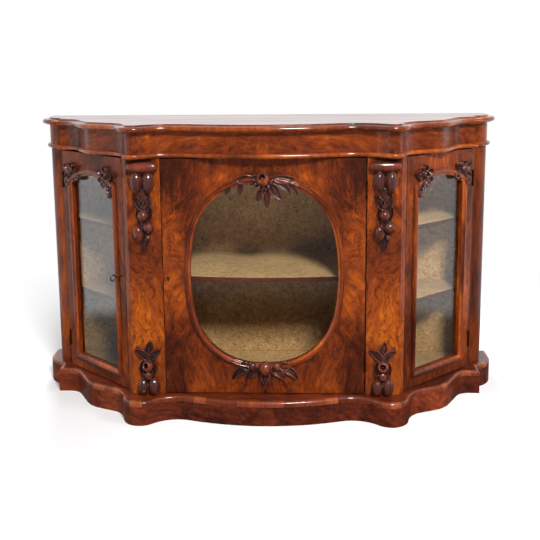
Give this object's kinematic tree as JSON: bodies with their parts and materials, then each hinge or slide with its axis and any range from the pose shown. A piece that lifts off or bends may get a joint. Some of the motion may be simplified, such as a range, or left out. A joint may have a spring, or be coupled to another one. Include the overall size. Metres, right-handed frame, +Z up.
{
  "type": "serpentine display credenza",
  "caption": "Low glazed walnut credenza with a serpentine front, an oval-glazed centre door, two angled arched side doors, carved pilasters and a moulded plinth.",
  "frame": {"origin": "centre of the bounding box at floor level, under the plinth", "axes": "+Z up, -Y is the front with the doors, +Y is the flat back that stands against a wall, +X to the right seen from the front"},
  "size_m": [1.524, 0.43, 0.915],
  "materials": {
    "plinth_walnut": "french polished",
    "crossband": "french polished crossbanding",
    "hidden_pine": "unpolished, stained",
    "deck_walnut": "french polished",
    "burr_walnut": "french polished burr veneer",
    "top_walnut": "high gloss french polish",
    "plain_walnut": "satin",
    "cloth": "plain woven lining cloth",
    "dark_walnut": "polished moulding",
    "carved_walnut": "carved and polished",
    "glass": "clear",
    "brass": "aged",
    "steel": "worn dark"
  },
  "bodies": {
    "carcass": {"back_panel": "hidden_pine", "base_board": "deck_walnut", "carcass_hinge_leaves": "brass", "centre_cloth": "cloth", "centre_shelf": "plain_walnut", "frieze_bead": "crossband", "frieze_front": "burr_walnut", "frieze_left": "burr_walnut", "frieze_right": "burr_walnut", "left_cloth": "cloth", "left_shelf_lower": "plain_walnut", "left_shelf_upper": "plain_walnut", "lower_carving_left": "carved_walnut", "lower_carving_right": "carved_walnut", "partition_left": "hidden_pine", "partition_right": "hidden_pine", "pilaster_left": "burr_walnut", "pilaster_right": "burr_walnut", "plinth_back": "hidden_pine", "plinth_edge_band": "crossband", "plinth_front": "plinth_walnut", "plinth_left": "plinth_walnut", "plinth_right": "plinth_walnut", "post_left": "plain_walnut", "post_right": "plain_walnut", "right_cloth": "cloth", "right_shelf_lower": "plain_walnut", "right_shelf_upper": "plain_walnut", "strike_plates": "brass", "sub_top": "hidden_pine", "top_board": "top_walnut", "top_moulding": "top_walnut", "upper_carving_left": "carved_walnut", "upper_carving_right": "carved_walnut"},
    "centre_door": {"centre_door_foot_carving": "carved_walnut", "centre_door_frame": "burr_walnut", "centre_door_glass": "glass", "centre_door_glazing_bead": "dark_walnut", "centre_door_leaves": "brass", "centre_door_lock": "brass", "centre_door_moulding": "dark_walnut", "centre_door_top_carving": "carved_walnut"},
    "right_door": {"right_door_carving": "carved_walnut", "right_door_frame": "plain_walnut", "right_door_glass": "glass", "right_door_glazing_bead": "dark_walnut", "right_door_leaves": "brass", "right_door_lock": "brass", "right_door_moulding": "dark_walnut"},
    "left_door": {"left_door_carving": "carved_walnut", "left_door_frame": "plain_walnut", "left_door_glass": "glass", "left_door_glazing_bead": "dark_walnut", "left_door_leaves": "brass", "left_door_lock": "brass", "left_door_moulding": "dark_walnut"},
    "centre_bolt": {"centre_door_bolt": "steel"},
    "right_bolt": {"right_door_bolt": "steel"},
    "left_bolt": {"left_door_bolt": "steel"},
    "left_key": {"left_door_key": "steel"}
  },
  "joints": [
    {"name": "centre_door_hinge", "type": "hinge", "parent": "carcass", "child": "centre_door", "pos_m": [0.307, -0.151, 0], "axis": [0, 0, 1], "range_deg": [0, 95]},
    {"name": "right_door_hinge", "type": "hinge", "parent": "carcass", "child": "right_door", "pos_m": [0.66946, 0.07199, 0], "axis": [0, 0, 1], "range_deg": [0, 105]},
    {"name": "left_door_hinge", "type": "hinge", "parent": "carcass", "child": "left_door", "pos_m": [-0.66946, 0.07199, 0], "axis": [0, 0, 1], "range_deg": [-105, 0]},
    {"name": "centre_bolt_slide", "type": "slide", "parent": "centre_door", "child": "centre_bolt", "axis": [-1, 0, 0], "range_m": [0, 0.008]},
    {"name": "right_bolt_slide", "type": "slide", "parent": "right_door", "child": "right_bolt", "axis": [-0.7661, -0.6428, 0], "range_m": [0, 0.008]},
    {"name": "left_bolt_slide", "type": "slide", "parent": "left_door", "child": "left_bolt", "axis": [0.7661, -0.6428, 0], "range_m": [0, 0.008]},
    {"name": "left_key_turn", "type": "hinge", "parent": "left_door", "child": "left_key", "pos_m": [-0.43696, -0.11917, 0.446], "axis": [-0.6428, -0.7661, 0], "range_deg": [0, 360]}
  ],
  "couplings": [
    {"joint": "left_bolt_slide", "follows": "left_key_turn", "m_per_rad": 0.001273}
  ]
}
